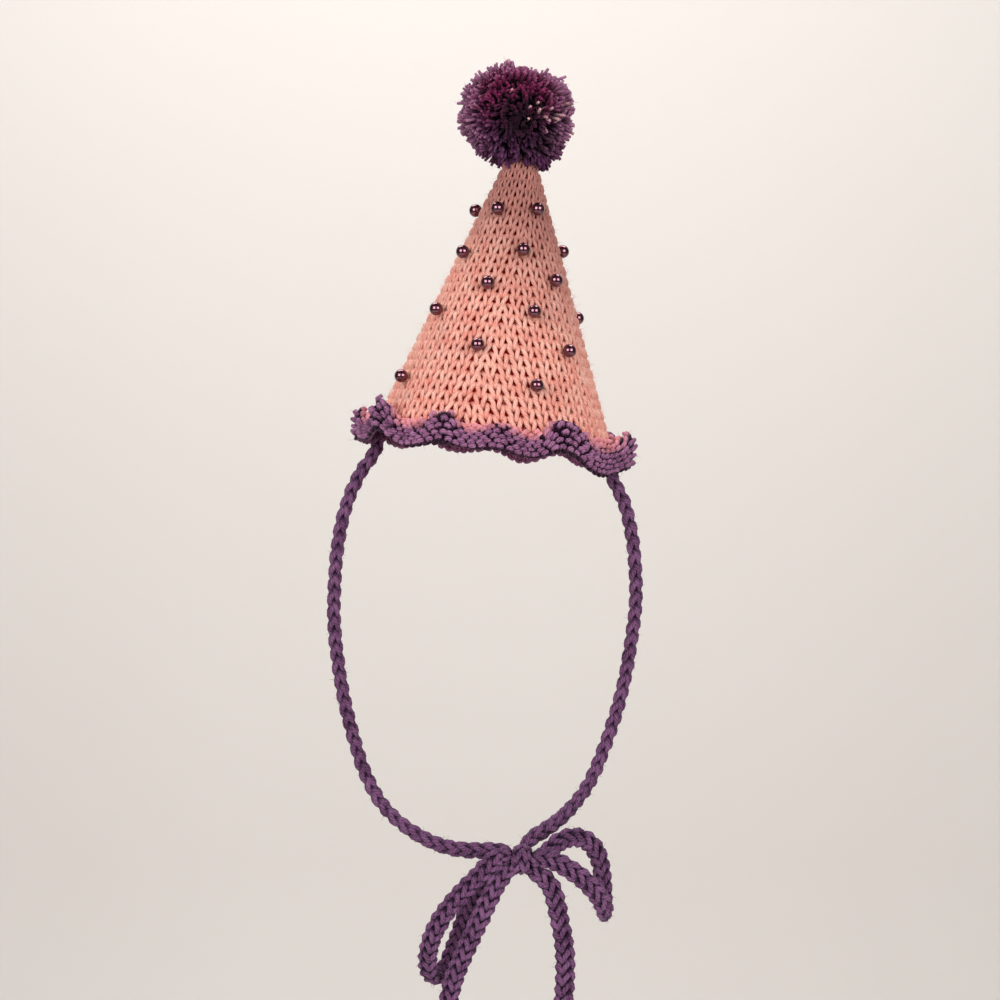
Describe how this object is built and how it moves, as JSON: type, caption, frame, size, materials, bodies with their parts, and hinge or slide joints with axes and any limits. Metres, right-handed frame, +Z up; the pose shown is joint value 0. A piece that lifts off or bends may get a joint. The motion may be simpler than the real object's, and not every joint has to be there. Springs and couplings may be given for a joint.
{
  "type": "knit party hat",
  "caption": "Knitted cone hat with sewn-on pearls, a yarn pompom, a wavy ruffle round the mouth and two knitted ties in a bow under the chin.",
  "frame": {"origin": "the middle of the hat's mouth, where it sits on a head", "axes": "+Z up, -Y the front, +X the viewer's right from the front; the hat's axis leans 5.8 degrees from +Z towards +X, as worn, and the ties hang straight down"},
  "size_m": [0.1417, 0.1232, 0.4194],
  "materials": {
    "crown_yarn": "knitted wool-blend yarn, soft and slightly fuzzy, salmon pink",
    "ruffle_yarn": "knitted yarn with a bumpy purl face, dusky purple",
    "cord_yarn": "knitted cord of purple yarn",
    "pompom_yarn": "cut yarn ends, dark plum with a few pink ones",
    "pearl": "metallic dark plum pearl coating"
  },
  "bodies": {
    "root": {"crown": "crown_yarn", "ruffle": "ruffle_yarn", "pompom": "pompom_yarn", "bead_01": "pearl", "bead_02": "pearl", "bead_03": "pearl", "bead_04": "pearl", "bead_05": "pearl", "bead_06": "pearl", "bead_07": "pearl", "bead_08": "pearl", "bead_09": "pearl", "bead_10": "pearl", "bead_11": "pearl", "bead_12": "pearl", "bead_13": "pearl", "bead_14": "pearl", "bead_15": "pearl", "bead_16": "pearl", "bead_17": "pearl", "bead_18": "pearl", "bead_19": "pearl", "bead_20": "pearl", "bead_21": "pearl", "bead_22": "pearl", "bead_23": "pearl", "bead_24": "pearl", "bead_25": "pearl", "bead_26": "pearl", "bead_27": "pearl", "bead_28": "pearl", "bead_29": "pearl", "bead_30": "pearl", "tie_left": "cord_yarn", "tie_right": "cord_yarn", "bow_loop_left": "cord_yarn", "bow_loop_right": "cord_yarn", "tie_end_left": "cord_yarn", "tie_end_right": "cord_yarn", "bow_knot": "cord_yarn"}
  },
  "joints": []
}
